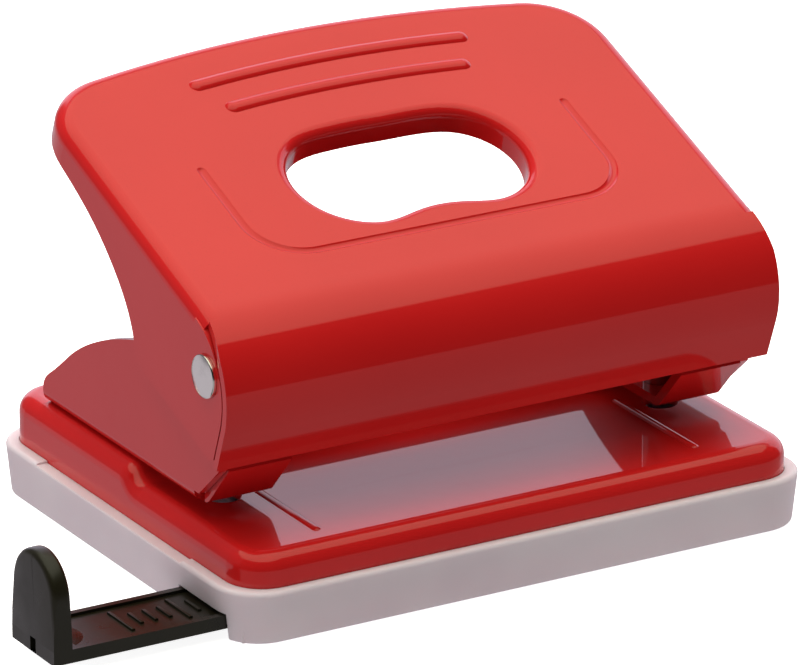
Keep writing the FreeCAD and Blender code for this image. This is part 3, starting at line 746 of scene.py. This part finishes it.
@dataclass
class PunchSet:
    """A punch pin with its retaining clip and the washer that its spring seats on."""

    dome: float = 6.0 * MM
    groove: float = 2.1 * MM
    groove_low: float = 40.2 * MM
    groove_high: float = 40.8 * MM
    cup: float = 0.65 * MM
    chamfer: float = 0.08 * MM
    clip_gap: float = 58.0

    def pin(self, shop: Workshop, side: str) -> None:
        """Turns the pin: ground cup at the cutting end, clip groove and domed top.

        Args:
            shop: the workshop.
            side: left or right.
        """
        low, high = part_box(f"punch_pin_{side}")
        radius = (high.x - low.x) / 2
        top = high.z - low.z
        rim = math.degrees(math.asin(radius / self.dome))
        cup = (radius ** 2 + self.cup ** 2) / (2 * self.cup)
        lip = math.degrees(math.asin(radius / cup))
        section = [(0.0, self.cup)] + arc((0.0, self.cup - cup), cup, 90, 90 - lip, 6)[1:]
        section += [(radius, self.groove_low - low.z), (self.groove, self.groove_low - low.z),
                    (self.groove, self.groove_high - low.z), (radius, self.groove_high - low.z)]
        section += arc((0.0, top - self.dome), self.dome, 90 - rim, 90, 6)
        place = Vector(((low.x + high.x) / 2, (low.y + high.y) / 2, low.z))
        shape = bmesh.new()
        shop.turn(shape, section, place, UPWARD, steps=48)
        shop.finish(shape, f"punch_pin_ground_{side}", f"punch_{side}", [f"punch_pin_{side}"],
                    Finish.GROUND, "tool_steel")

    def clip(self, shop: Workshop, side: str) -> None:
        """Bends the open retaining clip.

        Args:
            shop: the workshop.
            side: left or right.
        """
        low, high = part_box(f"retaining_clip_{side}")
        outer = (high.x - low.x) / 2
        thick = high.z - low.z
        place = Vector(((low.x + high.x) / 2, low.y + outer, low.z))
        cut = self.chamfer
        section = [(self.groove, 0.0), (outer - cut, 0.0), (outer, cut), (outer, thick - cut),
                   (outer - cut, thick), (self.groove, thick)]
        shape = bmesh.new()
        made = shop.turn(shape, section, place, UPWARD, 360.0 - self.clip_gap, 40)
        start = UPWARD.orthogonal()
        aim = math.radians(90.0 + self.clip_gap / 2) - math.atan2(start.y, start.x)
        bmesh.ops.rotate(shape, verts=made, cent=place, matrix=Matrix.Rotation(aim, 3, "Z"))
        shop.finish(shape, f"retaining_clip_bent_{side}", f"punch_{side}", [f"retaining_clip_{side}"],
                    Finish.WIRE, "spring_steel")

    def seat(self, shop: Workshop, side: str) -> None:
        """Turns the washer that the spring pushes on.

        Args:
            shop: the workshop.
            side: left or right.
        """
        low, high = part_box(f"spring_washer_{side}")
        pin_low, pin_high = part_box(f"punch_pin_{side}")
        sizes = ((pin_high.x - pin_low.x) / 2, (high.x - low.x) / 2, high.z - low.z, self.chamfer)
        place = Vector(((low.x + high.x) / 2, (low.y + high.y) / 2, low.z))
        flat_ring(shop, place, UPWARD, sizes, f"spring_seat_{side}", f"punch_{side}",
                  f"spring_washer_{side}")

    def build(self, shop: Workshop) -> None:
        """Makes both sides.

        Args:
            shop: the workshop.
        """
        for side in ("left", "right"):
            self.pin(shop, side)
            self.clip(shop, side)
            self.seat(shop, side)


@dataclass
class PaperGuide:
    """Sliding guide bar with a raised border, scale marks and an upright stop."""

    sheet: float = 2.2 * MM
    stop: float = 3.2 * MM
    border: float = 1.6 * MM
    recess: float = 0.5 * MM
    soft: float = 0.35 * MM
    arch_share: float = 0.999
    outer_roll: float = 1.1 * MM
    inner_roll: float = 0.8 * MM
    clear: float = 0.1 * MM
    first_mark: float = 15.2 * MM
    mark_step: float = 2.5 * MM
    marks: int = 9
    mark_width: float = 0.6 * MM
    short_mark: float = 2.2 * MM
    long_mark: float = 4.0 * MM
    mark_rise: float = 0.35 * MM
    mark_soft: float = 0.12 * MM
    pad: float = 4.8 * MM
    pad_rise: float = 0.6 * MM
    pad_root: float = 0.4 * MM
    notch_half: float = 0.9 * MM
    notch_height: float = 2.4 * MM
    notch_depth: float = 0.8 * MM

    def blank(self, shape: bmesh.types.BMesh, low: Vector, high: Vector) -> None:
        """Shapes the bar and raises its upright stop with an arched top.

        Args:
            shape: the bmesh to fill.
            low: lowest corner of the guide.
            high: highest corner.
        """
        middle = Vector(((low.x + high.x) / 2, (low.y + high.y) / 2, low.z + self.sheet / 2))
        size = Vector((high.x - low.x, high.y - low.y, self.sheet))
        block(shape, middle, size)
        inner = Vector((low.x + self.stop, 0.0, 0.0))
        bmesh.ops.bisect_plane(shape, geom=all_of(shape), plane_co=inner, plane_no=ALONG)
        root = [f for f in shape.faces if f.normal.z > FACING and f.calc_center_median().x < inner.x]
        bar_top = [f for f in shape.faces if f.normal.z > FACING and f.calc_center_median().x > inner.x]
        bmesh.ops.inset_region(shape, faces=bar_top, thickness=self.border, depth=0.0)
        floor = max((f for f in shape.faces if f.normal.z > FACING and f.calc_center_median().x > inner.x),
                    key=lambda f: f.calc_area())
        bmesh.ops.translate(shape, verts=sunk(shape, floor), vec=Vector((0.0, 0.0, -self.recess)))
        raised = bmesh.ops.extrude_face_region(shape, geom=root)
        lifted = [g for g in raised["geom"] if isinstance(g, bmesh.types.BMVert)]
        bmesh.ops.delete(shape, geom=root, context="FACES_ONLY")
        bmesh.ops.translate(shape, verts=lifted, vec=Vector((0.0, 0.0, high.z - low.z - self.sheet)))
        self.round_stop(shape, low, high, size.y / 2 * self.arch_share)

    def round_stop(self, shape: bmesh.types.BMesh, low: Vector, high: Vector, arch: float) -> None:
        """Arches the top of the stop and rounds both of its rims.

        Args:
            shape: the guide.
            low: lowest corner of the guide.
            high: highest corner.
            arch: radius of the arched top.
        """
        shoulders = [e for e in shape.edges if all(v.co.z > high.z - TINY for v in e.verts)
                     and abs(e.verts[0].co.y - e.verts[1].co.y) < TINY]
        bmesh.ops.bevel(shape, geom=shoulders, offset=arch, offset_type="OFFSET", segments=14,
                        profile=0.5, affect="EDGES", material=-1)
        above = low.z + self.sheet + self.clear
        for x, roll in ((low.x, self.outer_roll), (low.x + self.stop, self.inner_roll)):
            rim = [e for e in shape.edges if e.is_manifold and e.calc_face_angle() > CORNER
                   and all(abs(v.co.x - x) < CLOSE and v.co.z > above for v in e.verts)]
            LOG.info("the stop has %d rim edges at x %.4f", len(rim), x)
            bmesh.ops.bevel(shape, geom=rim, offset=roll, offset_type="OFFSET", segments=4,
                            profile=0.5, affect="EDGES", material=-1)

    def notch(self, shape: bmesh.types.BMesh, low: Vector, middle_y: float) -> None:
        """Cuts the small moulding notch at the foot of the stop's outer face.

        Args:
            shape: the guide.
            low: lowest corner of the guide.
            middle_y: the bar's centre line.
        """
        planes = [(Vector((0.0, middle_y + side * self.notch_half, 0.0)), ACROSS)
                  for side in (-1, 1)]
        planes.append((Vector((0.0, 0.0, low.z + self.notch_height)), UPWARD))
        for place, normal in planes:
            wall = [f for f in shape.faces if f.normal.x < -FACING]
            geom = wall + list({e for f in wall for e in f.edges}) + list({v for f in wall for v in f.verts})
            bmesh.ops.bisect_plane(shape, geom=geom, plane_co=place, plane_no=normal)
        patch = [f for f in shape.faces if f.normal.x < -FACING
                 and abs(f.calc_center_median().y - middle_y) < self.notch_half
                 and f.calc_center_median().z < low.z + self.notch_height]
        for face in patch:
            bmesh.ops.translate(shape, verts=sunk(shape, face), vec=Vector((self.notch_depth, 0.0, 0.0)))

    def soften(self, shape: bmesh.types.BMesh) -> None:
        """Rounds the moulded edges.

        Args:
            shape: the guide.
        """
        sharp = [e for e in shape.edges if e.is_manifold and e.calc_face_angle() > CORNER
                 and e.calc_length() > 4 * self.soft]
        bmesh.ops.bevel(shape, geom=sharp, offset=self.soft, offset_type="OFFSET", segments=3, profile=0.5,
                        affect="EDGES", clamp_overlap=True, material=-1)

    def scale(self, shape: bmesh.types.BMesh, low: Vector, middle_y: float, floor: float) -> None:
        """Raises the position marks on the recessed floor.

        Args:
            shape: the guide.
            low: lowest corner of the guide.
            middle_y: the bar's centre line.
            floor: height of the recessed floor.
        """
        for i in range(self.marks):
            reach = self.long_mark if i % 4 == 0 else self.short_mark
            place = Vector((low.x + self.first_mark + i * self.mark_step, middle_y, floor))
            size = Vector((self.mark_width, 2 * reach, 2 * self.mark_rise))
            made = block(shape, place, size)
            rim = list({e for v in made for e in v.link_edges if all(w.co.z > floor for w in e.verts)})
            bmesh.ops.bevel(shape, geom=rim, offset=self.mark_soft, offset_type="OFFSET", segments=2,
                            profile=0.5, affect="EDGES", material=-1)

    def thumb_pad(self, shop: Workshop, shape: bmesh.types.BMesh, low: Vector, middle_y: float,
                  floor: float) -> None:
        """Adds the half-round pad at the root of the stop.

        Args:
            shop: the workshop.
            shape: the guide.
            low: lowest corner of the guide.
            middle_y: the bar's centre line.
            floor: height of the recessed floor.
        """
        dome = (self.pad ** 2 + self.pad_rise ** 2) / (2 * self.pad_rise)
        spread = math.degrees(math.asin(self.pad / dome))
        section = [(0.0, -self.recess), (self.pad, -self.recess)]
        section += arc((0.0, self.pad_rise - dome), dome, 90 - spread, 90, 8)
        place = Vector((low.x + self.stop, middle_y, floor))
        made = shop.turn(shape, section, place, UPWARD, steps=40)
        rims = {e for v in made for e in v.link_edges}
        skins = {f for v in made for f in v.link_faces}
        bmesh.ops.bisect_plane(shape, geom=made + list(rims) + list(skins),
                               plane_co=place - ALONG * self.pad_root, plane_no=-ALONG, clear_outer=True)
        bmesh.ops.holes_fill(shape, edges=[e for e in shape.edges if e.is_boundary], sides=0)

    def build(self, shop: Workshop) -> None:
        """Makes the guide.

        Args:
            shop: the workshop.
        """
        low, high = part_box("paper_guide")
        middle_y = (low.y + high.y) / 2
        floor = low.z + self.sheet - self.recess
        shape = bmesh.new()
        self.blank(shape, low, high)
        self.notch(shape, low, middle_y)
        self.soften(shape)
        self.scale(shape, low, middle_y, floor)
        self.thumb_pad(shop, shape, low, middle_y, floor)
        shop.finish(shape, "paper_guide_moulded", "guide", ["paper_guide"], Finish.MOULDED, "black_plastic")


def block(shape: bmesh.types.BMesh, middle: Vector, size: Vector) -> list[bmesh.types.BMVert]:
    """Adds a box.

    Args:
        shape: the bmesh that takes it.
        middle: its centre.
        size: its length along each axis.

    Returns:
        Its corners.
    """
    place = Matrix.Translation(middle) @ Matrix.Diagonal(size).to_4x4()
    return bmesh.ops.create_cube(shape, size=1.0, matrix=place)["verts"]


def all_of(shape: bmesh.types.BMesh) -> list:
    """Gathers every vertex, edge and face.

    Args:
        shape: the bmesh.

    Returns:
        All its parts in one list.
    """
    return list(shape.verts) + list(shape.edges) + list(shape.faces)


def sunk(shape: bmesh.types.BMesh, face: bmesh.types.BMFace) -> list[bmesh.types.BMVert]:
    """Gives a face its own walls, so that it can be moved in or out.

    Args:
        shape: the bmesh.
        face: the face to free.

    Returns:
        The freed face's vertices.
    """
    made = bmesh.ops.extrude_discrete_faces(shape, faces=[face])
    return list(made["faces"][0].verts)


# ---------------------------------------------------------------- studio


@dataclass
class Softbox:
    """One rectangular area light."""

    name: str
    place: tuple[float, float, float]
    aim: tuple[float, float, float]
    size: tuple[float, float]
    power: float

    def build(self) -> bpy.types.Object:
        """Makes the light.

        Returns:
            The light object.
        """
        data = bpy.data.lights.new(self.name, "AREA")
        data.shape = "RECTANGLE"
        data.size, data.size_y = self.size
        data.energy = self.power
        lamp = bpy.data.objects.new(self.name, data)
        lamp.location = self.place
        turn = Vector(self.aim) - Vector(self.place)
        lamp.rotation_euler = turn.to_track_quat("-Z", "Y").to_euler()
        bpy.context.scene.collection.objects.link(lamp)
        return lamp


@dataclass
class Studio:
    """Pale floor, soft light, surroundings and camera."""

    azimuth: float = -30.341
    elevation: float = 20.582
    distance: float = 1.24183
    aim_right: float = -0.00008
    aim_up: float = 0.02729
    focal_mm: float = 350.26
    front: list[tuple[float, Rgb]] = field(default_factory=lambda: [
        (0.0, (0.30, 0.29, 0.29)), (0.435, (0.30, 0.29, 0.29)), (0.445, (0.01, 0.01, 0.01)),
        (0.875, (0.01, 0.01, 0.01)), (0.885, (1.02, 1.02, 0.80)), (1.0, (1.02, 1.02, 0.80))])
    back: list[tuple[float, Rgb]] = field(default_factory=lambda: [
        (0.0, (0.45, 0.42, 0.46)), (0.46, (0.55, 0.52, 0.58)), (0.48, (1.05, 0.98, 1.15)),
        (0.82, (1.05, 0.98, 1.15)), (0.83, (0.3, 0.28, 0.3)), (0.87, (0.3, 0.28, 0.3)),
        (0.88, (1.02, 1.02, 0.80)), (1.0, (1.02, 1.02, 0.80))])
    aside: list[tuple[float, Rgb]] = field(default_factory=lambda: [
        (0.0, (0.45, 0.42, 0.46)), (0.47, (0.45, 0.42, 0.46)), (0.49, (0.12, 0.11, 0.12)),
        (0.87, (0.12, 0.11, 0.12)), (0.88, (1.02, 1.02, 0.80)), (1.0, (1.02, 1.02, 0.80))])

    def floor(self) -> None:
        """Lays a plain pale floor that neither shows in the punch nor lights or shades it."""
        mesh = bpy.data.meshes.new("floor")
        shape = bmesh.new()
        bmesh.ops.create_grid(shape, x_segments=1, y_segments=1, size=6.0)
        shape.to_mesh(mesh)
        shape.free()
        slab = bpy.data.objects.new("floor", mesh)
        bpy.context.scene.collection.objects.link(slab)
        material = bpy.data.materials.new("pale_floor")
        material.use_nodes = True
        shader = material.node_tree.nodes["Principled BSDF"]
        shader.inputs["Base Color"].default_value = (0.9, 0.9, 0.9, 1.0)
        shader.inputs["Roughness"].default_value = 0.9
        shader.inputs["Emission Color"].default_value = (1.0, 1.0, 1.0, 1.0)
        shader.inputs["Emission Strength"].default_value = 0.9
        mesh.materials.append(material)
        slab.visible_glossy = False
        slab.visible_diffuse = False
        slab.visible_shadow = False

    def band(self, tree: bpy.types.NodeTree, rise: bpy.types.NodeSocket,
             stops: list[tuple[float, Rgb]]) -> bpy.types.NodeSocket:
        """Light of the room by height.

        Args:
            tree: the world's node tree.
            rise: 0 straight down, 0.5 level, 1 straight up.
            stops: place and colour of each stop.

        Returns:
            The colour.
        """
        node = tree.nodes.new("ShaderNodeValToRGB")
        ramp = node.color_ramp
        for position, _ in stops[1:-1]:
            ramp.elements.new(position)
        for element, (position, light) in zip(ramp.elements, stops):
            element.position = position
            element.color = (*light, 1.0)
        tree.links.new(rise, node.inputs["Fac"])
        return node.outputs["Color"]

    def part(self, tree: bpy.types.NodeTree, along: bpy.types.NodeSocket, low: bpy.types.NodeSocket,
             high: bpy.types.NodeSocket) -> bpy.types.NodeSocket:
        """Passes from the light of one side of the room to that of the other near the middle.

        Args:
            tree: the world's node tree.
            along: direction that tells the two sides apart.
            low: light on the negative side.
            high: light on the positive side.

        Returns:
            The light of both sides.
        """
        step = tree.nodes.new("ShaderNodeMapRange")
        step.inputs["From Min"].default_value = 0.02
        step.inputs["From Max"].default_value = 0.12
        tree.links.new(along, step.inputs["Value"])
        mix = tree.nodes.new("ShaderNodeMix")
        mix.data_type = "RGBA"
        tree.links.new(step.outputs["Result"], mix.inputs["Factor"])
        tree.links.new(low, mix.inputs["A"])
        tree.links.new(high, mix.inputs["B"])
        return mix.outputs["Result"]

    def surroundings(self) -> None:
        """Sets a world with a bright ceiling, a dark room in front and a pale backdrop behind."""
        world = bpy.data.worlds.new("studio")
        bpy.context.scene.world = world
        world.use_nodes = True
        tree = world.node_tree
        place = tree.nodes.new("ShaderNodeTexCoord")
        split = tree.nodes.new("ShaderNodeSeparateXYZ")
        tree.links.new(place.outputs["Generated"], split.inputs["Vector"])
        shift = tree.nodes.new("ShaderNodeMapRange")
        shift.inputs["From Min"].default_value = -1.0
        tree.links.new(split.outputs["Z"], shift.inputs["Value"])
        rise = shift.outputs["Result"]
        front = self.band(tree, rise, self.front)
        back = self.band(tree, rise, self.back)
        aside = self.band(tree, rise, self.aside)
        rear = self.part(tree, split.outputs["X"], aside, back)
        room = self.part(tree, split.outputs["Y"], front, rear)
        tree.links.new(room, tree.nodes["Background"].inputs["Color"])
        tree.nodes["Background"].inputs["Strength"].default_value = 1.0

    def lights(self) -> None:
        """Places the softboxes, which light the punch but aren't mirrored in it."""
        boxes = [
            Softbox("overhead", (0.1, 0.35, 1.3), (0.0, 0.0, 0.0), (1.2, 1.2), 14.5),
            Softbox("left_fill", (-1.3, 0.0, 0.45), (0.0, 0.0, 0.03), (0.8, 0.8), 6.5),
            Softbox("right_fill", (1.2, -0.75, 0.30), (0.0, -0.02, 0.015), (0.6, 0.5), 3.0),
            Softbox("table_bounce", (0.0, -1.2, -0.45), (0.0, 0.0, 0.03), (0.8, 0.8), 3.4),
        ]
        for box in boxes:
            box.build().visible_glossy = False

    def camera(self) -> None:
        """Sets the camera at its viewing angle."""
        az, el = math.radians(self.azimuth), math.radians(self.elevation)
        back = Vector((math.sin(az) * math.cos(el), -math.cos(az) * math.cos(el), math.sin(el)))
        right = Vector((math.cos(az), math.sin(az), 0.0))
        up = back.cross(right)
        data = bpy.data.cameras.new("camera")
        data.lens = self.focal_mm
        data.sensor_width = 36.0
        data.clip_start = 0.05
        data.clip_end = 20.0
        eye = bpy.data.objects.new("camera", data)
        turn = Matrix((right, up, back)).transposed().to_4x4()
        place = right * self.aim_right + up * self.aim_up + back * self.distance
        eye.matrix_world = Matrix.Translation(place) @ turn
        bpy.context.scene.collection.objects.link(eye)
        bpy.context.scene.camera = eye

    def build(self) -> None:
        """Builds the floor, the light and the camera."""
        self.floor()
        self.surroundings()
        self.lights()
        self.camera()
        bpy.context.scene.view_settings.view_transform = "Standard"
        bpy.context.scene.view_settings.look = "None"
        LOG.info("studio is set")


def main() -> None:
    """Builds and dresses every sub-assembly in order."""
    logging.basicConfig(level=logging.INFO, format="%(name)s: %(message)s")
    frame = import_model()
    wardrobe = Wardrobe(EffectLibrary())
    shop = Workshop(wardrobe)
    PressedSteel().build(frame["nodes"], wardrobe)
    PivotHardware().build(shop)
    BracketRivets().build(shop)
    PunchSet().build(shop)
    PaperGuide().build(shop)
    Studio().build()


if __name__ == "__main__":
    main()
